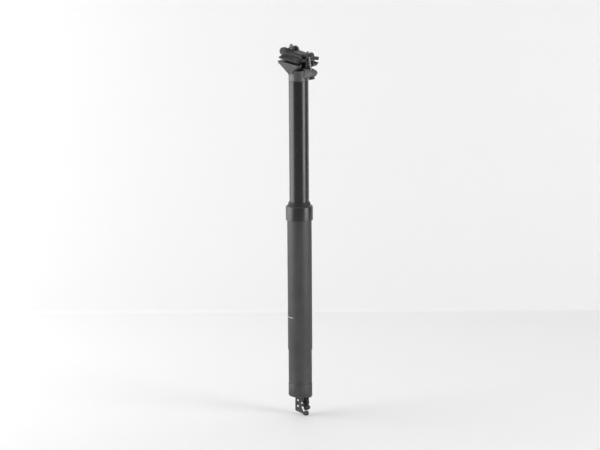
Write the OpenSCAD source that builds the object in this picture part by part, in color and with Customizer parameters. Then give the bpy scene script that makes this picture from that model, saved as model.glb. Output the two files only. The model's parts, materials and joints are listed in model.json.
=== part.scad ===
// Cable-released telescoping bicycle seatpost, shown fully extended.
// +Z runs up the post, +X points to the front of the bicycle, and the origin is on the
// axis at the underside of the collar, where the post stops in the frame.

/* [Lower tube] */
// Outside diameter of the lower tube, the size of the frame's seat tube
tube_d = 34.9; // [33.5:0.1:36]
// Bore of the lower tube
tube_bore_d = 30.8; // [30.4:0.1:31]
// Outside diameter of the stepped-down foot of the tube
tube_foot_d = 33.5; // [32.5:0.1:34]
// Distance from the collar down to the step
step_depth = 188; // [150:1:200]
// Distance from the collar down to the end cap
cap_depth = 237.5; // [236:0.5:240]
// Height of the end cap below the tube
cap_h = 18.9; // [16:0.1:22]

/* [Collar] */
// Outside diameter of the collar
collar_d = 38.7; // [38:0.1:42]
// Height of the collar
collar_h = 21.3; // [20:0.1:23]
// Height of the wiper lip above the collar
wiper_h = 4.6; // [3:0.1:6]

/* [Stanchion] */
// Outside diameter of the sliding stanchion
stanchion_d = 28; // [27.8:0.1:28.2]
// Wall of the stanchion
stanchion_wall = 1.5; // [1.2:0.1:1.8]
// How far the saddle drops
travel = 170; // [120:5:170]
// Exposed stanchion left under the head when the post is fully down
stack_gap = 2.1; // [1:0.1:5]

/* [Head] */
// Nose-down angle of the saddle rails when the post stands upright
rail_tilt = 11; // [5:1:14]
// Height of the rail axis above the top of the stanchion
rail_rise = 28.9; // [28:0.1:31]
// Distance between the two saddle rails
rail_gap = 44; // [42:1:46]
// Diameter of a saddle rail
rail_d = 7; // [7:0.1:7.4]
// Length of the clamp along the rails
clamp_l = 31.5; // [29:0.5:33]
// Width of the clamp across the rails
clamp_w = 60; // [57:1:62]

/* [Hidden] */
$fn = 96;
slack = 0.05;               // radial play of a sliding or turning fit
tube_r = tube_d / 2;
bore_r = tube_bore_d / 2;
foot_r = tube_foot_d / 2;
collar_r = collar_d / 2;
stan_r = stanchion_d / 2;
stan_bore = stan_r - stanchion_wall;
wiper_top = collar_h + wiper_h;
stan_top = wiper_top + travel + stack_gap;
cap_z = -cap_depth;
base_z = cap_z - cap_h;

// Guides inside the tube
bush_top = 12;
bush_bottom = -18;
stan_bottom = -56;
glide_h = 16;
key_r = 1.5;
key_h = 12;
key_z = stan_bottom + glide_h + 2;
key_ring_r = 14.7;
keyway_floor = 16.35;
keyway_w = 3.4;
keyway_bottom = cap_z + 10;
key_angles = [90, 210, 330];
topout_h = 6;

// Gas cartridge
rod_r = 3.5;
rod_bore = 1.5;
pin_r = rod_bore - slack;
cyl_bore = 10;
cyl_r = 11.2;
gland_z = stan_bottom + 2;
gland_h = 10;
piston_z = gland_z + gland_h + 1;
piston_h = 10;
rod_top = piston_z + piston_h;
spring_top = 168;
plug_h = 9;
floater_z = rod_top + travel + 2;
floater_h = 7;
rod_bottom = base_z + 5;
recess_floor = cap_z + 6.5;
recess_r = 8;
bumper_h = 5;
stud_r = 4;
nut_z = stan_top + 8;        // where the nut clamps the gas spring inside the head

// Saddle clamp
rail_z = stan_top + rail_rise;
cradle_r = 24;              // radius of the curved seat under the cradle
pivot_w = 12.5;             // height of its centre above the rail axis
split = 1.5;                // each clamp half ends this far from the rail axis
flank_w = -2.5;             // the flanks slope in at 45 degrees below this height
nut_w = 10.2;
nut_r = 4;
front_nut_u = 14.4;
rear_nut_u = -17.2;
front_lean = -10;
rear_lean = 24;
front_bolt_l = 29.7;        // from the underside of the ear to the nut
rear_bolt_l = 20;
front_past_nut = 7.7;       // bolt length left for the washer, the nut and the end
rear_past_nut = 11.6;
front_nut_half = 9.5;
rear_nut_half = 11.2;
bolt_r = 2.5;
hole_r = 3.1;
washer_r = 4.6;
washer_h = 1.4;
head_r = 4.25;
head_h = 2.6;
lift = 0.35;                // play between a washer and its ear

// Positions worked out along the tilted clamp: u runs forward, w runs up
function at_x(u, w) = u * cos(rail_tilt) + w * sin(rail_tilt);
function at_z(u, w) = rail_z - u * sin(rail_tilt) + w * cos(rail_tilt);
pivot_x = at_x(0, pivot_w);
pivot_z = at_z(0, pivot_w);
front_seat = [at_x(front_nut_u, nut_w) - front_bolt_l * sin(front_lean), 0,
              at_z(front_nut_u, nut_w) - front_bolt_l * cos(front_lean)];
rear_seat = [at_x(rear_nut_u, nut_w) - rear_bolt_l * sin(rear_lean), 0,
             at_z(rear_nut_u, nut_w) - rear_bolt_l * cos(rear_lean)];

// Cable actuator under the end cap
plate_t = 1.5;
screw_x = 10.5;             // two screws hold the bracket to the end cap
screw_y = 8;
screw_r = 1.5;
screw_h = 7;
cheek_y = -5.5;
cheek_back = -5.6;
cheek_front = 4.5;
rivet_x = -1.4;
rivet_z = base_z - 10.7;
rivet_r = 1.2;
lever_x = 6.6;
lever_z = base_z - 9.2;
lever_t = 4;
pivot_r = 1.5;
cam_r = 7;
barrel_x = 10.8;
barrel_z = base_z - 17;
barrel_r = 3.6;
nipple_r = 2.4;
stop_x = 10.2;
stop_r = 3.6;
stop_top = base_z - 22.2;
stop_bottom = base_z - 27.6;
housing_r = 2.5;
cable_r = 1.1;
pin_bottom = base_z - 2.4;
toe_top = pin_bottom - 0.3;

black = "#26262a";
gloss = "#1c1b1e";
grey = "#3b3b3e";
steel = "#9a9a9e";
brass = "#b08a4a";
rubber = "#151515";

// A ring, as a tube from radius inner to radius outer between two heights
module ring(inner, outer, z, h) {
    translate([0, 0, z]) difference() {
        cylinder(r = outer, h = h);
        translate([0, 0, -1]) cylinder(r = inner, h = h + 2);
    }
}

// A round rubber ring seen in section as a circle
module o_ring(middle_r, wire_r, z) {
    translate([0, 0, z]) rotate_extrude() translate([middle_r, 0]) circle(wire_r, $fn = 32);
}

// A cylinder lying across the post, centred on its middle
module across(r, length, x, z, y = 0) {
    translate([x, y, z]) rotate([90, 0, 0]) cylinder(r = r, h = length, center = true);
}

// A side outline, drawn in X and Z, given a thickness across the post
module side_plate(thickness, y = 0) {
    translate([0, y + thickness / 2, 0]) rotate([90, 0, 0])
        linear_extrude(thickness) children();
}

// Puts its children in the frame of the clamp, with X along the rails
module in_clamp() {
    translate([0, 0, rail_z]) rotate([0, rail_tilt, 0]) children();
}

// ---- Lower assembly -------------------------------------------------------------

module lower_tube() {
    thread_r = tube_r - 0.4;
    color(grey) difference() {
        rotate_extrude() polygon([
            [bore_r, cap_z], [foot_r, cap_z], [foot_r, -step_depth - 0.7],
            [tube_r, -step_depth], [tube_r, 0], [thread_r, 0],
            [thread_r, bush_top + 1], [bore_r, bush_top + 1]]);
        for (a = key_angles) rotate([0, 0, a])
            translate([0, -keyway_w / 2, keyway_bottom])
                cube([keyway_floor, keyway_w, bush_bottom - 0.5 - keyway_bottom]);
    }
}

module seal_collar() {
    thread_r = tube_r - 0.4;
    lip_r = stan_r + 2.4;
    color(gloss) rotate_extrude() polygon([
        [thread_r, 0], [collar_r - 0.5, 0], [collar_r, 0.5], [collar_r, collar_h - 2.2],
        [collar_r - 1.4, collar_h - 0.6], [collar_r - 2.4, collar_h], [lip_r, collar_h],
        [lip_r, bush_top + 3.5], [thread_r, bush_top + 3.5]]);
}

module wiper_seal() {
    seat_r = stan_r + 2.4;
    color(rubber) rotate_extrude() polygon([
        [stan_r + slack, bush_top + 4.5], [seat_r, bush_top + 4.5], [seat_r, collar_h],
        [stan_r + 1.9, collar_h + 0.9], [stan_r + 1.2, wiper_top], [stan_r + slack, wiper_top],
        [stan_r + slack, wiper_top - 1], [stan_r + 0.6, wiper_top - 2],
        [stan_r + 0.6, bush_top + 6.5], [stan_r + slack, bush_top + 5.7]]);
}

module foam_ring() {
    color("#6b6b5c") ring(stan_r + 0.15, bore_r, bush_top + 0.6, 2.8);
}

module upper_bush() {
    color("#d9d4c4") ring(stan_r + slack, bore_r, bush_bottom, bush_top - bush_bottom);
}

module end_cap() {
    color(grey) difference() {
        rotate_extrude() polygon([
            [0, base_z], [tube_r - 1.8, base_z], [tube_r - 0.4, base_z + 1.4],
            [tube_r - 0.4, cap_z - 0.8], [tube_r - 0.9, cap_z], [bore_r, cap_z],
            [bore_r, cap_z + 9.5], [bore_r - 1.6, cap_z + 9.5],
            [bore_r - 1.6, recess_floor], [0, recess_floor]]);
        translate([0, 0, base_z - 1]) cylinder(r = rod_r, h = cap_h + 20);
        translate([0, 0, base_z - 1]) cylinder(r = rod_r + 2.5, h = 1 + 5 - 1.2);
        translate([0, 0, cap_z + 2]) rotate_extrude() translate([bore_r, 0])
            circle(1, $fn = 32);
        for (x = [-screw_x, screw_x]) translate([x, screw_y, base_z - 1])
            cylinder(r = screw_r, h = 9);
    }
}

module cap_seal() {
    color(rubber) intersection() {
        o_ring(bore_r, 0.98, cap_z + 2);
        translate([0, 0, cap_z]) cylinder(r = bore_r, h = 4);
    }
}

module cartridge_rod() {
    color(steel) difference() {
        translate([0, 0, rod_bottom - 1.2]) cylinder(r = rod_r, h = rod_top - rod_bottom - 1);
        translate([0, 0, rod_bottom - 5]) cylinder(r = rod_bore, h = rod_top - rod_bottom - 6);
    }
}

module rod_clip() {
    color(steel) difference() {
        ring(rod_r, rod_r + 2.4, base_z + 2.3, 1.2);
        translate([-1.2, 0, base_z]) cube([2.4, 10, 6]);
    }
}

module piston() {
    groove = 2.4;
    color(steel) difference() {
        ring(rod_r, cyl_bore - 0.3, piston_z, piston_h - 0.8);
        translate([0, 0, piston_z + (piston_h - groove) / 2 - 0.4])
            difference() {
                cylinder(r = cyl_bore + 1, h = groove);
                translate([0, 0, -1]) cylinder(r = cyl_bore - 1.8, h = groove + 2);
            }
    }
}

module piston_seal() {
    color(rubber) ring(cyl_bore - 1.8, cyl_bore - slack, piston_z + 3.4, 2.4);
}

module bottom_bumper() {
    color(rubber) ring(rod_r, recess_r, recess_floor, bumper_h);
}

// ---- Sliding assembly -----------------------------------------------------------

module stanchion() {
    color(gloss) difference() {
        ring(stan_bore, stan_r, stan_bottom, stan_top - stan_bottom);
        for (a = key_angles) rotate([0, 0, a])
            translate([key_ring_r, 0, key_z]) cylinder(r = key_r, h = key_h);
    }
}

module glide_ring() {
    color("#d9d4c4") ring(stan_r, bore_r - slack, stan_bottom, glide_h);
}

module guide_keys() {
    color(brass) for (a = key_angles) rotate([0, 0, a])
        translate([key_ring_r, 0, key_z]) cylinder(r = key_r, h = key_h);
}

module topout_ring() {
    color(rubber) ring(stan_r, bore_r - 0.3, bush_bottom - 0.8 - topout_h, topout_h);
}

module cartridge_cylinder() {
    color(steel) ring(cyl_bore, cyl_r, gland_z, spring_top + plug_h - gland_z);
}

module rod_gland() {
    color(grey) difference() {
        ring(rod_r + slack, cyl_bore, gland_z, gland_h);
        translate([0, 0, gland_z + 5]) cylinder(r = rod_r + 1.5, h = 2);
    }
}

module gland_seal() {
    color(rubber) ring(rod_r + slack, rod_r + 1.5, gland_z + 5, 2);
}

module gas_plug() {
    plug_top = spring_top + plug_h;
    stud_end = nut_z + 4;
    color(steel) union() {
        translate([0, 0, spring_top]) cylinder(r = cyl_bore, h = plug_h);
        translate([0, 0, plug_top]) cylinder(r = stud_r, h = stud_end - plug_top);
    }
}

module cartridge_nut() {
    corner_r = 6.4;
    nut_h = 3.4;
    color(steel) difference() {
        translate([0, 0, nut_z]) cylinder(r = corner_r, h = nut_h, $fn = 6);
        translate([0, 0, nut_z - 1]) cylinder(r = stud_r, h = 6);
    }
}

module floating_piston() {
    color(grey) difference() {
        translate([0, 0, floater_z]) cylinder(r = cyl_bore - slack, h = floater_h);
        translate([0, 0, floater_z + 2]) cylinder(r = 6.5, h = floater_h);
    }
}

// ---- Release mechanism ----------------------------------------------------------

module release_pin() {
    pin_l = 150;
    color(steel) translate([0, 0, pin_bottom]) cylinder(r = pin_r, h = pin_l);
}

module actuator_bracket() {
    foot_top = base_z - 23.4;
    wing = 3.1;             // how far the bent flange reaches forward and inward
    flange_h = 14;
    sole = stop_bottom + 1;
    color(grey) difference() {
        union() {
            // top plate against the end cap
            translate([-13, cheek_y, base_z - plate_t]) cube([26, 17, plate_t]);
            // near cheek
            side_plate(plate_t, cheek_y + plate_t / 2) polygon([
                [cheek_back, base_z], [cheek_front, base_z], [cheek_front, base_z - 16],
                [stop_x - 2, foot_top], [stop_x, stop_top - 1], [stop_x, stop_top - 4],
                [cheek_front, foot_top - 1.2], [cheek_back, base_z - 22]]);
            // front flange, bent in from the cheek at 45 degrees
            translate([0, 0, base_z - flange_h]) linear_extrude(flange_h) polygon([
                [cheek_front - 0.6, cheek_y], [cheek_front, cheek_y],
                [cheek_front + wing, cheek_y + wing],
                [cheek_front + wing - 1, cheek_y + wing + 0.2],
                [cheek_front - 0.6, cheek_y + plate_t]]);
            // far cheek that carries the other end of the lever pin
            side_plate(plate_t, 4.2) polygon([
                [2, base_z], [12, base_z], [11, base_z - 11], [lever_x, base_z - 13.5],
                [2, base_z - 10]]);
            // socket for the cable housing stop
            translate([stop_x, -1, sole]) cylinder(r = stop_r, h = stop_top - sole);
            side_plate(4.5, cheek_y + 2.25) polygon([
                [stop_x - 3, stop_top], [stop_x + 1, stop_top], [stop_x + 1, sole],
                [stop_x - 3, sole]]);
        }
        for (z = [-6.4, -15]) across(1.5, 4, rivet_x, base_z + z, cheek_y);
        across(rivet_r, 4, rivet_x, rivet_z, cheek_y);
        across(pivot_r, 30, lever_x, lever_z);
        // clearance for the rod's end and for the lever's toe
        translate([0, 0, base_z - 4]) cylinder(r = 3.2, h = 6);
        translate([0, -2.5, base_z - 4]) cube([7, 5, 6]);
        for (x = [-screw_x, screw_x]) translate([x, screw_y, base_z - 4])
            cylinder(r = screw_r, h = 6);
        translate([stop_x, -1, stop_bottom - 1]) cylinder(r = housing_r + 0.6, h = 4.6);
        translate([stop_x, -1, stop_bottom - 1]) cylinder(r = cable_r + 0.3, h = 12);
    }
}

module bracket_screws() {
    cap_r = 2.6;
    cap_h = 1.6;
    under = base_z - plate_t;
    color(steel) for (x = [-screw_x, screw_x]) translate([x, screw_y, 0]) {
        translate([0, 0, under]) cylinder(r = screw_r, h = screw_h);
        difference() {
            translate([0, 0, under - cap_h]) cylinder(r = cap_r, h = cap_h);
            translate([0, 0, under - cap_h - 1]) cylinder(r = 1.2, h = 2, $fn = 6);
        }
    }
}

module bracket_rivet() {
    flat_r = 1.6;
    color(gloss) union() {
        across(rivet_r, plate_t + 0.8, rivet_x, rivet_z, cheek_y + plate_t / 2);
        across(flat_r, 0.5, rivet_x, rivet_z, cheek_y - 0.25);
    }
}

module actuator_lever() {
    rim = 1.8;
    web = 1.8;
    color(gloss) difference() {
        union() {
            // quadrant with a raised rim
            across(cam_r, lever_t, lever_x, lever_z);
            // toe that lifts the release pin
            side_plate(lever_t) polygon([
                [-2, toe_top], [lever_x, toe_top + 0.2], [lever_x, lever_z - 2],
                [2, toe_top - 3.4], [-2, toe_top - 2.2]]);
            // arm down to the cable barrel
            side_plate(lever_t) polygon([
                [lever_x - 2, lever_z], [lever_x + 4.4, lever_z - 3],
                [barrel_x + barrel_r - 0.4, barrel_z + 1],
                [barrel_x - barrel_r, barrel_z - 1]]);
            across(barrel_r, 7, barrel_x, barrel_z);
        }
        // relief inside the rim on both faces
        for (side = [-1, 1]) difference() {
            across(cam_r - rim, lever_t, lever_x, lever_z, side * (lever_t + web) / 2);
            across(pivot_r + 1.3, 20, lever_x, lever_z);
        }
        across(pivot_r + slack, 30, lever_x, lever_z);
        across(nipple_r, 30, barrel_x, barrel_z);
        translate([barrel_x, 0, barrel_z - 10]) cylinder(r = cable_r, h = 10);
    }
}

module lever_pin() {
    color(steel) union() {
        across(pivot_r, 12.4, lever_x, lever_z, -0.5);
        across(pivot_r + 0.9, 0.8, lever_x, lever_z, 6.1 - 0.4);
    }
}

module lever_spring() {
    wire = 0.45;
    color(steel) for (y = [2.25 + wire : 2 * wire + 0.02 : 3.3]) translate([lever_x, y, lever_z])
        rotate([90, 0, 0]) rotate_extrude() translate([pivot_r + 0.75, 0]) circle(wire, $fn = 16);
}

module housing_stop() {
    color(gloss) difference() {
        translate([stop_x, -1, stop_bottom]) cylinder(r = housing_r + 0.6, h = 3.6);
        translate([stop_x, -1, stop_bottom - 1]) cylinder(r = housing_r, h = 3.6);
        translate([stop_x, -1, stop_bottom - 1]) cylinder(r = cable_r + 0.3, h = 8);
    }
}

// ---- Head and saddle clamp ------------------------------------------------------

// The outline across the post, in the frame of the clamp: two flanks that open out at
// 45 degrees up to the full width of the clamp
module flanks() {
    half = clamp_w / 2;
    drop = 40;
    translate([-60, 0, 0]) rotate([90, 0, 90]) linear_extrude(120) intersection() {
        polygon([[-half, flank_w], [0, flank_w - half], [half, flank_w],
            [half, drop], [-half, drop]]);
        translate([-half, -drop]) square([2 * half, 2 * drop]);
    }
}

// An oblong hole for a leaning bolt, long enough to let the bolt swing
module bolt_slot(seat, lean, from, length) {
    translate(seat) rotate([0, lean, 0]) translate([0, 0, from]) {
        for (x = [-1, 1]) translate([x, 0, 0]) cylinder(r = hole_r, h = length);
        translate([-1, -hole_r, 0]) cube([2, 2 * hole_r, length]);
    }
}

module head() {
    spigot = 18;
    neck_h = 15;            // the round neck ends here, and the hollow starts
    flare = 1.2;
    ear_w = 13;
    hollow_w = 20;
    seat_cut = washer_r + 0.9;
    color(grey) difference() {
        union() {
            // spigot bonded into the stanchion
            translate([0, 0, stan_top - spigot]) cylinder(r = stan_bore, h = spigot + 0.5);
            // round neck, opening slightly to the top
            rotate_extrude() polygon([[0, stan_top], [stan_r, stan_top],
                [stan_r, stan_top + 6], [stan_r + 0.3 * flare, stan_top + 10],
                [stan_r + flare, stan_top + neck_h], [0, stan_top + neck_h]]);
            // two arms that fan out from the neck to the seat of the clamp
            intersection() {
                in_clamp() flanks();
                side_plate(clamp_w) polygon([
                    [-9.6, stan_top + 8], [-10.2, stan_top + 12], [-12, stan_top + 17.5],
                    [-13.6, stan_top + 20.8], [-15.3, stan_top + 25.8],
                    [-15.9, stan_top + 29.4], [-15.9, pivot_z], [15.2, pivot_z],
                    [15.2, stan_top + 23], [12.6, stan_top + 21], [6.5, stan_top + 17],
                    [1, stan_top + 13], [0, stan_top + 8]]);
            }
            // front ear
            side_plate(ear_w) polygon([
                [4, stan_top + 4.6], [15, stan_top + 4.8], [20, stan_top + 6.2],
                [25, stan_top + 7.3], [27.8, stan_top + 11.4], [27, stan_top + 14.4],
                [21.5, stan_top + 17.2], [15, stan_top + 19], [4, stan_top + 18]]);
            // rear ear
            side_plate(ear_w) polygon([
                [-9, stan_top + 12], [-13, stan_top + 18.5], [-20, stan_top + 21],
                [-28, stan_top + 25.2], [-28.4, stan_top + 28.4], [-22, stan_top + 30],
                [-14, stan_top + 27], [-9, stan_top + 22]]);
        }
        // curved seat for the cradle
        across(cradle_r + slack, 80, pivot_x, pivot_z);
        // hollow between the two arms, open to the front
        translate([-9, -hollow_w / 2, stan_top + neck_h]) cube([15, hollow_w, 30]);
        translate([5, -14.5, stan_top + 19.5]) cube([30, 29, 30]);
        translate([5, ear_w / 2 + 0.01, stan_top + neck_h])
            cube([30, 14.5 - ear_w / 2, 10]);
        translate([5, -14.5, stan_top + neck_h]) cube([30, 14.5 - ear_w / 2 - 0.01, 10]);
        // bore for the stud of the gas spring and room for its nut
        translate([0, 0, stan_top - spigot - 2]) cylinder(r = stud_r, h = 40);
        translate([0, 0, nut_z]) cylinder(r = 7.6, h = 20);
        bolt_slot(front_seat, front_lean, -3, 30);
        bolt_slot(rear_seat, rear_lean, -3, 20);
        // flats that the bolt washers bear on
        translate(front_seat) rotate([0, front_lean, 0]) translate([0, 0, -6])
            cylinder(r = seat_cut, h = 6);
        translate(rear_seat) rotate([0, rear_lean, 0]) translate([0, 0, -6])
            cylinder(r = seat_cut, h = 6);
    }
}

module lower_cradle() {
    half_l = clamp_l / 2;
    window_w = 31;
    hollow_w = 24;
    slot_w = 7.6;
    color(black) in_clamp() difference() {
        intersection() {
            flanks();
            across(cradle_r, 80, 0, pivot_w);
            translate([-half_l, -40, -30]) cube([clamp_l, 80, 30 - split]);
        }
        for (y = [-rail_gap / 2, rail_gap / 2]) translate([-half_l - 1, y, 0])
            rotate([0, 90, 0]) cylinder(r = rail_d / 2, h = clamp_l + 2);
        // window over the hollow of the head and slot for the rear bolt
        translate([6.5, -window_w / 2, -30]) cube([20, window_w, 40]);
        translate([-4, -hollow_w / 2, -30]) cube([20, hollow_w, 40]);
        translate([-30, -slot_w / 2, -30]) cube([19, slot_w, 40]);
    }
}

module upper_clamp() {
    half_l = clamp_l / 2 - 0.5;
    half_w = clamp_w / 2 - 0.5;
    roof_r = rail_d / 2 + 2.6;
    nut_seat_r = nut_r + slack;
    rear_seat_w = 22.8;
    front_seat_w = 26;
    cheek_out = 17.2;
    cheek_in = rear_seat_w / 2;
    cheek_r = 5.7;
    block_w = 36.8;
    slot_w = 6.6;
    color(black) in_clamp() difference() {
        union() {
            // side wings with a roof over each rail
            for (side = [-1, 1]) {
                intersection() {
                    translate([-half_l, side * rail_gap / 2, 0]) rotate([0, 90, 0])
                        cylinder(r = roof_r, h = 2 * half_l);
                    translate([-half_l, -40, split]) cube([2 * half_l, 80, 20]);
                }
                translate([-half_l, side > 0 ? 18 : -half_w, 2.6])
                    cube([2 * half_l, half_w - 18, 1.8]);
            }
            // beam across the front
            translate([half_l - 4.5, -half_w, split]) cube([4.5, 2 * half_w, 4.6]);
            // middle block, deeper at the rear
            side_plate(block_w) polygon([
                [-half_l, split], [half_l, split], [half_l + 1.6, 3.4], [half_l + 1.6, 7],
                [half_l - 1, 8.4], [6, 9.4], [-8, 10.4], [-12, 10.6], [rear_nut_u, 9.5],
                [-half_l - 2.8, 6]]);
            // crown along the middle
            side_plate(19) polygon([
                [-10, 6], [-10.4, 10.6], [-7, 11.6], [5, 10.9], [8.6, 9.8], [9, 6]]);
            // rear cheeks that hold the ends of the barrel nut
            for (side = [-1, 1])
                across(cheek_r, cheek_out - cheek_in, rear_nut_u, nut_w,
                    side * (cheek_in + cheek_out) / 2);
        }
        // seats for the barrel nuts, open at the top
        across(nut_seat_r, rear_seat_w, rear_nut_u, nut_w);
        translate([rear_nut_u - nut_seat_r, -rear_seat_w / 2, nut_w])
            cube([2 * nut_seat_r, rear_seat_w, 10]);
        across(nut_seat_r, front_seat_w, front_nut_u, nut_w);
        translate([front_nut_u - nut_seat_r, -front_seat_w / 2, nut_w])
            cube([10, front_seat_w, 10]);
        // rail grooves
        for (y = [-rail_gap / 2, rail_gap / 2]) translate([-40, y, 0])
            rotate([0, 90, 0]) cylinder(r = rail_d / 2, h = 80);
        // slots for the two bolts
        translate([front_nut_u - 4, -slot_w / 2, -5]) cube([12, slot_w, 20]);
        translate([rear_nut_u - 12, -slot_w / 2, -5]) cube([19, slot_w, 13]);
    }
}

module clamp_bolt(seat, lean, length) {
    color(steel) translate(seat) rotate([0, lean, 0]) {
        translate([0, 0, -lift - washer_h]) cylinder(r = bolt_r, h = length);
        translate([0, 0, -lift - washer_h - head_h]) difference() {
            cylinder(r = head_r, h = head_h);
            translate([0, 0, -1]) cylinder(r = 2.3, h = 2.8, $fn = 6);
        }
    }
}

module bolt_washer(seat, lean) {
    color(steel) translate(seat) rotate([0, lean, 0])
        ring(bolt_r, washer_r, -lift - washer_h, washer_h);
}

module barrel_nut(seat, lean, u, half_y) {
    play = 0.35;
    color(steel) difference() {
        in_clamp() across(nut_r, 2 * half_y, u, nut_w);
        translate(seat) rotate([0, lean, 0]) cylinder(r = bolt_r + play, h = 60);
    }
}

module front_bolt() { clamp_bolt(front_seat, front_lean, front_bolt_l + front_past_nut); }
module rear_bolt() { clamp_bolt(rear_seat, rear_lean, rear_bolt_l + rear_past_nut); }
module front_washer() { bolt_washer(front_seat, front_lean); }
module rear_washer() { bolt_washer(rear_seat, rear_lean); }
module front_barrel_nut() { barrel_nut(front_seat, front_lean, front_nut_u, front_nut_half); }
module rear_barrel_nut() { barrel_nut(rear_seat, rear_lean, rear_nut_u, rear_nut_half); }

lower_tube();
seal_collar();
wiper_seal();
foam_ring();
upper_bush();
end_cap();
cap_seal();
cartridge_rod();
rod_clip();
piston();
piston_seal();
bottom_bumper();
stanchion();
head();
glide_ring();
guide_keys();
topout_ring();
cartridge_cylinder();
rod_gland();
gland_seal();
gas_plug();
cartridge_nut();
floating_piston();
release_pin();
actuator_bracket();
bracket_screws();
bracket_rivet();
actuator_lever();
lever_pin();
lever_spring();
housing_stop();
lower_cradle();
upper_clamp();
front_bolt();
rear_bolt();
front_washer();
rear_washer();
front_barrel_nut();
rear_barrel_nut();
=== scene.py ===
import bmesh
import bpy
import json
import math
from mathutils import Matrix, Quaternion, Vector


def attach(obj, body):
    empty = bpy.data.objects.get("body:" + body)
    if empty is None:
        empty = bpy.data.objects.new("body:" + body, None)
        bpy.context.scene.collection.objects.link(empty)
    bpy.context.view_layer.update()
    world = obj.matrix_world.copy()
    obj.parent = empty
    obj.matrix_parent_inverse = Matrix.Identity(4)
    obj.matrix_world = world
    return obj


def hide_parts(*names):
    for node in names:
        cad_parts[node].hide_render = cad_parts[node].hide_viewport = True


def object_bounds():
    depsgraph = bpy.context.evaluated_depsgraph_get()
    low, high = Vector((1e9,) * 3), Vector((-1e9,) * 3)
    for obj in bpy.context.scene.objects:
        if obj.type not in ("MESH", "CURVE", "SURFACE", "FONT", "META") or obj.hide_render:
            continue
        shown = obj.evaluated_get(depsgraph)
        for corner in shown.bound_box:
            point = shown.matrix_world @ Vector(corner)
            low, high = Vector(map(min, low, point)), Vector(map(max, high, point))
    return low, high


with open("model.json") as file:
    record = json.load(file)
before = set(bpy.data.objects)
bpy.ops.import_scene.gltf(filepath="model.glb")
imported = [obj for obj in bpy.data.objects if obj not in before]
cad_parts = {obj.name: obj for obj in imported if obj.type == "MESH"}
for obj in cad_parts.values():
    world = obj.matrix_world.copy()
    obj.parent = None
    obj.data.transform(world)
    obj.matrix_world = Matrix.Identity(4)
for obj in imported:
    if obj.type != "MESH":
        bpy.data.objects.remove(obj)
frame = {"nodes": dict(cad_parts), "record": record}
cad_low, cad_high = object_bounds()
nodes = frame["nodes"]
MM = 0.001

# ---- Lower tube -------------------------------------------------------------------
# The tube that slides into the bicycle frame: drawn 6061 aluminium with a bore for the
# stanchion, stepped down 0.7 mm below the clamping length, glass-bead blasted and then
# anodised a satin dark grey. It carries a printed insertion mark and a height scale.


def linear(hex_colour):
    """A six-digit sRGB colour as the linear RGBA that Blender works in."""
    parts = [int(hex_colour[i:i + 2], 16) / 255 for i in (0, 2, 4)]
    return [c / 12.92 if c <= 0.04045 else ((c + 0.055) / 1.055) ** 2.4 for c in parts] + [1.0]


def add(tree, kind, settings=None, **links):
    """Adds a node: settings name its properties, links name (or number, as _0) its inputs."""
    node = tree.nodes.new(kind)
    for key, value in (settings or {}).items():
        setattr(node, key, value)
    for key, value in links.items():
        socket = node.inputs[int(key[1:]) if key[1:].isdigit() else key.replace("_", " ")]
        if isinstance(value, bpy.types.NodeSocket):
            tree.links.new(value, socket)
        else:
            socket.default_value = value
    return node


def finish_material(name, colour, **values):
    """A material with one Principled shader, and the values its sockets hold."""
    material = bpy.data.materials.new(name)
    material.use_nodes = True
    shader = material.node_tree.nodes["Principled BSDF"]
    shader.inputs["Base Color"].default_value = linear(colour)
    for key, value in values.items():
        shader.inputs[key.replace("_", " ")].default_value = value
    return material


def grain(material, size_mm, depth_mm, darker, lighter, roughness, patch_mm=14, stretch=(1, 1, 1)):
    """Surface grain of one real size: bump from it, and colour and gloss that vary in patches."""
    tree = material.node_tree
    shader = tree.nodes["Principled BSDF"]
    place = add(tree, "ShaderNodeTexCoord").outputs["Object"]
    scaled = add(tree, "ShaderNodeMapping", Vector=place, Scale=stretch).outputs["Vector"]
    fine = add(tree, "ShaderNodeTexNoise", Vector=scaled, Scale=1000 / size_mm, Detail=2.0)
    broad = add(tree, "ShaderNodeTexNoise", Vector=place, Scale=1000 / patch_mm, Detail=3.0)
    both = add(tree, "ShaderNodeMath", {"operation": "MULTIPLY_ADD"}, _0=fine.outputs["Fac"],
               _1=0.45, _2=broad.outputs["Fac"])
    tint = add(tree, "ShaderNodeMapRange", Value=both.outputs[0], From_Min=0.45, From_Max=1.0)
    mix = add(tree, "ShaderNodeMix", {"data_type": "RGBA"}, _0=tint.outputs[0],
              _6=linear(darker), _7=linear(lighter))
    gloss = add(tree, "ShaderNodeMapRange", Value=both.outputs[0], From_Min=0.45, From_Max=1.0,
                To_Min=roughness[0], To_Max=roughness[1])
    bump = add(tree, "ShaderNodeBump", Height=fine.outputs["Fac"], Strength=1.0,
               Distance=depth_mm * MM)
    tree.links.new(mix.outputs[2], shader.inputs["Base Color"])
    tree.links.new(gloss.outputs[0], shader.inputs["Roughness"])
    tree.links.new(bump.outputs["Normal"], shader.inputs["Normal"])
    return tree, shader, bump


def turned(name, profile_mm, material, sides=128, place=None):
    """A solid turned on the Z axis from a closed outline of (radius, height) in mm."""
    points, faces, count = [], [], len(profile_mm)
    for side in range(sides):
        turn = 2 * math.pi * side / sides
        for radius, height in profile_mm:
            points.append((radius * MM * math.cos(turn), radius * MM * math.sin(turn), height * MM))
    for side in range(sides):
        after = (side + 1) % sides
        for i in range(count):
            j = (i + 1) % count
            corners = (side * count + i, after * count + i, after * count + j, side * count + j)
            if profile_mm[i][0] or profile_mm[j][0]:
                faces.append(corners)
    mesh = bpy.data.meshes.new(name)
    mesh.from_pydata(points, [], faces)
    return finished(name, mesh, material, place)


crease = math.radians(32)


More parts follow.
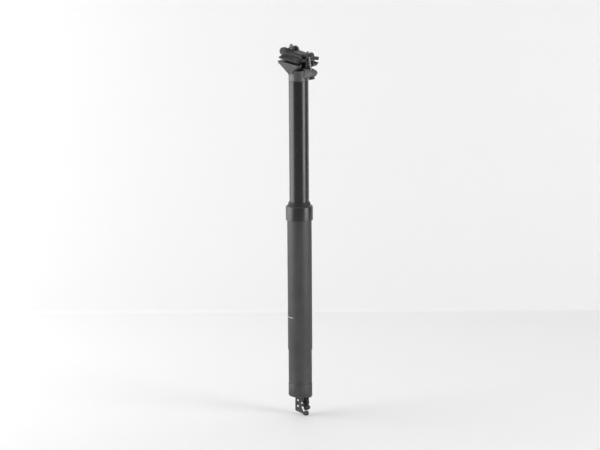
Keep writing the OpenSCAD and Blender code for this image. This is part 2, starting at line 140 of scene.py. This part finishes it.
def finished(name, mesh, material, place=None):
    """Closes poles and seams, turns faces outwards, shades by angle and makes the object."""
    work = bmesh.new()
    work.from_mesh(mesh)
    bmesh.ops.remove_doubles(work, verts=work.verts, dist=0.002 * MM)
    bmesh.ops.dissolve_degenerate(work, edges=work.edges, dist=0.001 * MM)
    if place is not None:
        bmesh.ops.transform(work, matrix=place, verts=work.verts)
    bmesh.ops.recalc_face_normals(work, faces=work.faces)
    for edge in work.edges:
        edge.smooth = len(edge.link_faces) == 2 and edge.calc_face_angle(3) < crease
    for face in work.faces:
        face.smooth = True
    work.to_mesh(mesh)
    work.free()
    mesh.materials.clear()
    mesh.materials.append(material)
    piece = bpy.data.objects.new(name, mesh)
    bpy.context.scene.collection.objects.link(piece)
    return piece


def eased(corners, size=0.25):
    """An outline with each corner cut to a small chamfer, as a turned edge is broken."""
    out = []
    for i, corner in enumerate(corners):
        here, back = Vector(corner), Vector(corners[i - 1])
        on = Vector(corners[(i + 1) % len(corners)])
        if here.x < 0.01:
            out.append(corner)
            continue
        for other in (back, on):
            reach = min(size, (other - here).length * 0.4)
            out.append(tuple(here + (other - here).normalized() * reach))
    return out


def dress(node_name, material):
    """Gives a carried-over node its material."""
    nodes[node_name].data.materials.clear()
    nodes[node_name].data.materials.append(material)


record = frame["record"]
body_of = {held: body for body, all_held in record["behaviour"]["bodies"].items()
           for held in all_held}


def fit(piece, node_name, instead=True):
    """Lets a piece ride with a node's body, and take the node's place."""
    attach(piece, body_of[node_name])
    if instead:
        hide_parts(node_name)


# Satin dark anodising over 0.15 mm bead blasting: even, slightly sparkling, no sharp
# reflections. The grain is drawn 0.5 mm so that it shows.
satin_grey = finish_material("anodised_aluminium_satin", "5a595a", Metallic=1.0)
grain(satin_grey, 0.5, 0.012, "545354", "605f60", (0.52, 0.62))

tube_r, bore_r, foot_r, thread_r = 17.45, 15.4, 16.75, 17.05
cap_z, base_z, bush_top = -237.5, -256.4, 12.0
lower_tube = turned("lower_tube_body", eased([
    (bore_r, cap_z), (foot_r, cap_z), (foot_r, -188.7), (tube_r, -188), (tube_r, 0), (thread_r, 0),
    (thread_r, bush_top + 1), (bore_r, bush_top + 1)], 0.2), satin_grey, 160)
fit(lower_tube, "lower_tube")

# The marks are baked pale ink: a long stop line for the least insertion, and a scale of
# short lines above it, 0.03 mm proud. One Geometry Nodes tree bends each onto the tube.
pale_ink = finish_material("baked_marking_ink", "c9c9c6", Roughness=0.6)
grain(pale_ink, 0.3, 0.004, "b9b9b6", "d2d2cf", (0.5, 0.65), 5)


def node_tree(name, sizes, materials=("finish",)):
    """An empty Geometry Nodes tree with named inputs for its sizes and its material."""
    tree = bpy.data.node_groups.new(name, "GeometryNodeTree")
    for label, kind, value in sizes:
        socket = tree.interface.new_socket(label, in_out="INPUT", socket_type="NodeSocket" + kind)
        socket.default_value = value
    for label in materials:
        tree.interface.new_socket(label, in_out="INPUT", socket_type="NodeSocketMaterial")
    tree.interface.new_socket("Geometry", in_out="OUTPUT", socket_type="NodeSocketGeometry")
    return tree, tree.nodes.new("NodeGroupInput").outputs, tree.nodes.new("NodeGroupOutput")


def close_tree(tree, out, geometry, finish):
    """Ends a tree in Realize Instances and Set Material."""
    real = add(tree, "GeometryNodeRealizeInstances", Geometry=geometry).outputs[0]
    painted = add(tree, "GeometryNodeSetMaterial", Geometry=real, Material=finish).outputs[0]
    tree.links.new(painted, out.inputs["Geometry"])


def grown(name, tree, material, place=None, **sizes):
    """Runs a tree with the given sizes and returns its result as a plain mesh object."""
    holder = bpy.data.objects.new(name + "_source", bpy.data.meshes.new(name + "_source"))
    bpy.context.scene.collection.objects.link(holder)
    modifier = holder.modifiers.new("tree", "NODES")
    modifier.node_group = tree
    for socket in tree.interface.items_tree:
        if socket.in_out == "INPUT":
            modifier[socket.identifier] = material if socket.name == "finish" else \
                sizes.get(socket.name, socket.default_value)
    ready = holder.evaluated_get(bpy.context.evaluated_depsgraph_get())
    mesh = bpy.data.meshes.new_from_object(ready)
    bpy.data.objects.remove(holder)
    return finished(name, mesh, material, place)


marks, size, marks_out = node_tree("curved_marks", [
    ("count", "Int", 1), ("spacing", "Float", 0.005), ("radius", "Float", 0.01748),
    ("sweep", "Float", 0.5), ("height", "Float", 0.0008), ("proud", "Float", 0.00003)])
line = add(marks, "GeometryNodeCurveArc", {"mode": "RADIUS"}, Resolution=24,
           Radius=size["radius"], Sweep_Angle=size["sweep"]).outputs[0]
band = add(marks, "GeometryNodeCurvePrimitiveQuadrilateral", Width=size["proud"],
           Height=size["height"]).outputs[0]
solid = add(marks, "GeometryNodeCurveToMesh", Curve=line, Profile_Curve=band,
            Fill_Caps=True).outputs[0]
step = add(marks, "ShaderNodeCombineXYZ", Z=size["spacing"]).outputs[0]
rungs = add(marks, "GeometryNodeMeshLine", Count=size["count"], Offset=step).outputs[0]
copies = add(marks, "GeometryNodeInstanceOnPoints", Points=rungs, Instance=solid).outputs[0]
close_tree(marks, marks_out, copies, size["finish"])

# Each row holds how many lines there are, their spacing, their sweep round the tube in
# degrees, their thickness, and how far above the insertion mark they start.
mark_z, mark_turn = -140, math.radians(-139)
for name, count, spacing, sweep, height, above in [
        ("insertion_mark", 1, 5, 46, 0.9, 0),
        ("height_scale_long", 5, 10, 9, 0.35, 12),
        ("height_scale_short", 8, 5, 5, 0.3, 14.5)]:
    place = Matrix.Translation((0, 0, (mark_z + above) * MM)) @ Matrix.Rotation(mark_turn, 4, "Z")
    mark = grown(name, marks, pale_ink, place, count=count, spacing=spacing * MM,
                 sweep=math.radians(sweep), height=height * MM)
    fit(mark, "lower_tube", instead=False)

# ---- Collar, wiper and slide bushes -------------------------------------------------
# The collar screws on the tube and holds the lip seal. It is turned from bar, polished
# and anodised black, so it shows soft upright reflections and faint turning lines.
gloss_black = finish_material("anodised_aluminium_gloss", "1b1a1c", Metallic=0.0, IOR=1.65)
grain(gloss_black, 0.6, 0.002, "171618", "201f21", (0.28, 0.36), 12, (0.05, 0.05, 1))

collar_r, collar_h, stan_r, wiper_h = 19.35, 21.3, 14.0, 4.6
lip_r = stan_r + 2.4
collar = turned("seal_collar_body", eased([
    (thread_r, 0), (collar_r, 0), (collar_r, collar_h - 2.2), (collar_r - 1.4, collar_h - 0.6),
    (collar_r - 2.4, collar_h), (lip_r, collar_h), (lip_r, bush_top + 3.5),
    (thread_r, bush_top + 3.5)], 0.35), gloss_black, 160)
fit(collar, "seal_collar")

# Moulded nitrile rubber wiper, matt and a little dusty.
rubber = finish_material("moulded_rubber", "171717", IOR=1.52)
grain(rubber, 0.35, 0.01, "131313", "1d1d1d", (0.55, 0.75), 9)
wiper_top = collar_h + wiper_h
wiper = turned("wiper_seal_lip", eased([
    (stan_r + 0.05, bush_top + 4.5), (lip_r, bush_top + 4.5), (lip_r, collar_h),
    (stan_r + 1.9, collar_h + 0.9), (stan_r + 1.2, wiper_top - 0.4), (stan_r + 0.9, wiper_top),
    (stan_r + 0.05, wiper_top), (stan_r + 0.05, wiper_top - 1), (stan_r + 0.6, wiper_top - 2),
    (stan_r + 0.6, bush_top + 6.5), (stan_r + 0.05, bush_top + 5.7)], 0.12), rubber, 128)
fit(wiper, "wiper_seal")

# The slide bush and glide ring are moulded acetal, the wiper's oil ring is felted foam.
acetal = finish_material("moulded_acetal", "d8d2c2", IOR=1.48)
grain(acetal, 0.8, 0.004, "cfc8b6", "ded9ca", (0.35, 0.5), 10)
foam = finish_material("oiled_foam", "5f5f50", IOR=1.4)
grain(foam, 0.4, 0.08, "47473b", "6d6d5d", (0.7, 0.9), 4)
dress("foam_ring", foam)
dress("upper_bush", acetal)
dress("glide_ring", acetal)
for rubber_node in ("cap_seal", "piston_seal", "bottom_bumper", "topout_ring", "gland_seal"):
    dress(rubber_node, rubber)

# ---- End cap and gas spring ----------------------------------------------------------
# The cap screws in the foot of the tube and takes the rod of the gas spring. It has the
# tube's satin finish, with a broken edge at the seam. Nothing of the spring shows.
end_cap = turned("end_cap_body", eased([
    (0, base_z), (tube_r - 2.0, base_z), (tube_r - 0.4, base_z + 1.4), (tube_r - 0.4, cap_z - 0.5),
    (tube_r - 0.7, cap_z), (bore_r, cap_z), (bore_r, cap_z + 9.5), (bore_r - 1.6, cap_z + 9.5),
    (bore_r - 1.6, cap_z + 6.5), (0, cap_z + 6.5)], 0.25), satin_grey, 160)
fit(end_cap, "end_cap")

# Ground steel for the rod and small parts; turned, clear aluminium for the cartridge.
ground_steel = finish_material("ground_steel", "c8c9cb", Metallic=1.0)
grain(ground_steel, 0.5, 0.002, "bcbdbf", "cfd0d2", (0.18, 0.3), 8, (1, 1, 0.1))
turned_aluminium = finish_material("turned_aluminium", "b9babd", Metallic=1.0)
grain(turned_aluminium, 0.5, 0.003, "adaeb1", "c2c3c6", (0.25, 0.38), 8, (0.1, 0.1, 1))
turned_brass = finish_material("turned_brass", "b8934e", Metallic=1.0)
grain(turned_brass, 0.5, 0.002, "a98544", "c4a05c", (0.22, 0.35), 5)
for steel_node in ("cartridge_rod", "rod_clip", "cartridge_nut", "release_pin"):
    dress(steel_node, ground_steel)
for aluminium_node in ("piston", "cartridge_cylinder", "rod_gland", "gas_plug", "floating_piston"):
    dress(aluminium_node, turned_aluminium)
dress("guide_keys", turned_brass)

# ---- Stanchion ------------------------------------------------------------------------
# The sliding tube: ground 7000-series aluminium, hard anodised black and polished, so
# the studio shows in it as soft upright bands.
hard_black = finish_material("hard_anodised_aluminium", "0d0c0e", Metallic=0.0, IOR=1.65)
grain(hard_black, 0.8, 0.001, "0b0a0c", "111012", (0.22, 0.30), 20, (1, 1, 0.08))
stan_top, stan_bottom = 198.0, -56.0
stanchion = turned("stanchion_tube", eased([
    (stan_r - 1.5, stan_bottom), (stan_r, stan_bottom), (stan_r, stan_top),
    (stan_r - 1.5, stan_top)], 0.1), hard_black, 160)
fit(stanchion, "stanchion")

# ---- Head, cradle and upper clamp -------------------------------------------------------
# Closed-die forgings in aluminium, machined at the seats, shot blasted and anodised dark
# grey. Die forging leaves every edge rounded by about half a millimetre. One finish in
# two tones: a lighter grey painted as light on the head and cradle, and a darker grey
# painted as shade on the upper clamp.
# Painted light and painted shade: two copies of one forging finish, lighter and darker.
forged_painted_light = finish_material("forged_aluminium_painted_light", "666666", Metallic=1.0)
grain(forged_painted_light, 0.7, 0.03, "606060", "6e6e6e", (0.42, 0.54), 9)
forged_painted_shade = finish_material("forged_aluminium_painted_shade", "434344", Metallic=1.0)
grain(forged_painted_shade, 0.7, 0.03, "3d3d3e", "4b4b4c", (0.40, 0.52), 9)


def forged(node_name, name, material, voxel_mm, rounds):
    """A copy of a node's solid with its edges rounded as forging leaves them."""
    copy = nodes[node_name].copy()
    copy.data = nodes[node_name].data.copy()
    copy.parent = None
    copy.matrix_world = Matrix()
    bpy.context.scene.collection.objects.link(copy)
    weld = copy.modifiers.new("weld", "WELD")
    weld.merge_threshold = 0.001 * MM
    remesh = copy.modifiers.new("remesh", "REMESH")
    remesh.mode = "VOXEL"
    remesh.voxel_size = voxel_mm * MM
    ease = copy.modifiers.new("ease", "SMOOTH")
    ease.factor = 0.5
    ease.iterations = rounds
    mesh = bpy.data.meshes.new_from_object(copy.evaluated_get(
        bpy.context.evaluated_depsgraph_get()))
    bpy.data.objects.remove(copy)
    return finished(name, mesh, material)


# The head and cradle take the painted-light grey, the upper clamp the painted-shade grey.
for node_name, name, material, voxel in [
        ("head", "head_forging", forged_painted_light, 0.36),
        ("lower_cradle", "cradle_forging", forged_painted_light, 0.32),
        ("upper_clamp", "upper_clamp_forging", forged_painted_shade, 0.32)]:
    body = forged(node_name, name, material, voxel, 9)
    fit(body, node_name)

# ---- Clamp bolts, washers and barrel nuts --------------------------------------------
# Two M5 socket-head bolts in black-oxide steel, each in a cross-drilled barrel nut. Shank
# and thread are painted a lighter steel grey, a painted highlight along them.
rail_tilt, rail_z = math.radians(11), stan_top + 28.9
nut_w, bolt_r = 10.2, 2.5
washer_h, head_h, head_r, washer_r, lift = 1.4, 2.6, 4.25, 4.6, 0.35

black_oxide = finish_material("black_oxide_steel", "47474a", Metallic=1.0)
grain(black_oxide, 0.4, 0.004, "3c3c3f", "525255", (0.28, 0.42), 3)
# Painted highlight: the lighter grey of shank and thread stands in for the bright streak on the
# bolt.
thread_painted_highlight = finish_material("steel_thread_painted_highlight", "9a9a9d", Metallic=1.0)
grain(thread_painted_highlight, 0.4, 0.004, "808083", "b0b0b3", (0.2, 0.34), 2.5)

coil, size, coil_out = node_tree("wound_coil", [
    ("turns", "Float", 3.0), ("radius", "Float", 0.002), ("height", "Float", 0.003),
    ("wire", "Float", 0.0004), ("per_turn", "Int", 24), ("sides", "Int", 4)])
path = add(coil, "GeometryNodeCurveSpiral", Resolution=size["per_turn"], Rotations=size["turns"],
           Start_Radius=size["radius"], End_Radius=size["radius"],
           Height=size["height"]).outputs[0]
wire = add(coil, "GeometryNodeCurvePrimitiveCircle", {"mode": "RADIUS"}, Resolution=size["sides"],
           Radius=size["wire"]).outputs[0]
wound = add(coil, "GeometryNodeCurveToMesh", Curve=path, Profile_Curve=wire,
            Fill_Caps=True).outputs[0]
close_tree(coil, coil_out, wound, size["finish"])


def clamp_place(u, w):
    """The X and Z of a point given along and above the tilted rails, in mm."""
    return (u * math.cos(rail_tilt) + w * math.sin(rail_tilt),
            rail_z - u * math.sin(rail_tilt) + w * math.cos(rail_tilt))


thread_pitch, plain_end, crest_r = 0.8, 1.6, 0.39
for end, nut_u, lean_deg, seat_l, bolt_l in [
        ("front", 14.4, -10, 29.7, 37.4), ("rear", -17.2, 24, 20.0, 31.6)]:
    lean = math.radians(lean_deg)
    nut_x, nut_z = clamp_place(nut_u, nut_w)
    seat = (nut_x - seat_l * math.sin(lean), nut_z - seat_l * math.cos(lean))
    along = Matrix.Translation((seat[0] * MM, 0, seat[1] * MM)) @ Matrix.Rotation(lean, 4, "Y")
    foot = -lift - washer_h
    core_r = bolt_r - 0.42
    bolt_head = turned(end + "_bolt_head", [
        (0, foot - 0.9), (1.9, foot - 0.9), (2.3, foot - head_h), (head_r - 0.5, foot - head_h),
        (head_r, foot - head_h + 0.5), (head_r, foot - 0.2), (head_r - 0.2, foot), (0, foot)],
        black_oxide, 48, along)
    shank = turned(end + "_bolt_shank", [
        (0, foot), (core_r, foot), (core_r, foot + bolt_l - 0.7),
        (core_r - 0.6, foot + bolt_l), (0, foot + bolt_l)], thread_painted_highlight, 32, along)
    turns = (bolt_l - plain_end) / thread_pitch
    thread = grown(end + "_bolt_thread", coil, thread_painted_highlight,
                   along @ Matrix.Translation((0, 0, (foot + 0.5) * MM)), turns=turns,
                   radius=(core_r + 0.02) * MM, height=(bolt_l - plain_end) * MM, wire=crest_r * MM)
    fit(shank, end + "_bolt")
    for piece in (bolt_head, thread):
        fit(piece, end + "_bolt", instead=False)
    washer = turned(end + "_washer_ring", eased([
        (bolt_r, foot), (washer_r, foot), (washer_r, -lift), (bolt_r, -lift)], 0.2),
        black_oxide, 48, along)
    fit(washer, end + "_washer")
    dress(end + "_barrel_nut", black_oxide)

# ---- Release bracket, lever and cable stop ----------------------------------------------
# The bracket is folded from steel sheet and coated satin black. The lever and the stop
# for the cable housing are cast and anodised; the pin, rivet and screws are steel.
coated_steel = finish_material("coated_steel_sheet", "3f3f41", IOR=1.5)
grain(coated_steel, 0.6, 0.012, "39393b", "47474a", (0.38, 0.5), 6)
cast_black = finish_material("cast_aluminium_black", "2c2b2d", Metallic=0.6)
grain(cast_black, 0.5, 0.02, "262527", "343335", (0.38, 0.5), 5)
bracket = forged("actuator_bracket", "bracket_sheet", coated_steel, 0.25, 2)
fit(bracket, "actuator_bracket")
lever = forged("actuator_lever", "lever_casting", cast_black, 0.22, 2)
fit(lever, "actuator_lever")
dress("housing_stop", cast_black)
dress("bracket_screws", black_oxide)
dress("bracket_rivet", black_oxide)
dress("lever_pin", ground_steel)

# The lever's return spring: one turn of 0.8 mm music wire round the pin.
lever_x, lever_z = 6.6, base_z - 9.2
spring_place = Matrix.Translation((lever_x * MM, 3.35 * MM, lever_z * MM)) \
    @ Matrix.Rotation(math.radians(90), 4, "X")
spring = grown("lever_spring_coil", coil, ground_steel, spring_place, turns=1.0,
               radius=2.25 * MM, height=0.9 * MM, wire=0.4 * MM, per_turn=40, sides=10)
fit(spring, "lever_spring")

# ---- Studio ------------------------------------------------------------------------------
# A pale floor meets a pale wall in a tight curve. A broad window stands to the left of the
# post, a narrower soft box to the right, and a large soft light hangs above.
view_turn, view_drop = math.radians(32), math.radians(9.6)
view_distance, view_height, view_side, view_lean = 3.2, -0.0078, 0.0008, math.radians(-0.35)
away = Vector((-math.sin(view_turn), math.cos(view_turn), 0))
aside = Vector((math.cos(view_turn), math.sin(view_turn), 0))

floor_z = cad_low.z - 0.0002
wall_distance, cove_radius, stage_half = 0.716, 0.008, 4.0
outline = [(-4.0, 0.0)]
cove_steps = 12
for step_number in range(cove_steps + 1):
    turn = math.radians(90 * step_number / cove_steps)
    outline.append((wall_distance - cove_radius + cove_radius * math.sin(turn),
                    cove_radius * (1 - math.cos(turn))))
outline.append((wall_distance, 4.0))
stage_points = []
for reach, up in outline:
    for side in (-1, 1):
        point = away * reach + aside * side * stage_half
        stage_points.append((point.x, point.y, floor_z + up))
stage_faces = [(2 * i, 2 * i + 1, 2 * i + 3, 2 * i + 2) for i in range(len(outline) - 1)]
paper = finish_material("pale_backdrop_paper", "f1f1f1", Roughness=0.6)
stage_mesh = bpy.data.meshes.new("backdrop")
stage_mesh.from_pydata(stage_points, [], stage_faces)
stage_mesh.materials.append(paper)
for face in stage_mesh.polygons:
    face.use_smooth = True
backdrop = bpy.data.objects.new("backdrop", stage_mesh)
bpy.context.scene.collection.objects.link(backdrop)

camera = bpy.data.objects.new("camera", bpy.data.cameras.new("camera"))
bpy.context.scene.collection.objects.link(camera)
camera.data.lens = 135
camera.data.sensor_width = 36
back = Vector((0, 0, math.sin(view_drop))) - away * math.cos(view_drop)
camera.location = Vector((0, 0, view_height)) + aside * view_side + back * view_distance
camera.rotation_mode = "QUATERNION"
camera.rotation_quaternion = Quaternion(back, view_lean) @ (-back).to_track_quat("-Z", "Y")
bpy.context.scene.camera = camera

# Each light is placed by its turn from the camera round the post, in degrees, its
# distance and its height; then come its width, height and power.
for name, turn_deg, distance, height, width, tall, power in [
        ("left_window", -90, 1.5, 0.25, 1.6, 2.0, 31),
        ("right_box", 62, 1.6, 0.30, 0.8, 1.6, 17),
        ("top_light", 0, 0.001, 2.3, 2.6, 2.6, 13)]:
    lamp = bpy.data.lights.new(name, "AREA")
    lamp.shape = "RECTANGLE"
    lamp.size, lamp.size_y, lamp.energy = width, tall, power
    light = bpy.data.objects.new(name, lamp)
    bpy.context.scene.collection.objects.link(light)
    a = view_turn + math.radians(turn_deg)
    light.location = Vector((math.sin(a) * distance, -math.cos(a) * distance, height))
    light.rotation_mode = "QUATERNION"
    light.rotation_quaternion = (Vector((0, 0, 0)) - light.location).to_track_quat("-Z", "Y")

world = bpy.data.worlds.new("studio")
bpy.context.scene.world = world
world.use_nodes = True
world.node_tree.nodes["Background"].inputs["Color"].default_value = linear("ffffff")
world.node_tree.nodes["Background"].inputs["Strength"].default_value = 0.29
bpy.context.scene.view_settings.view_transform = "Standard"
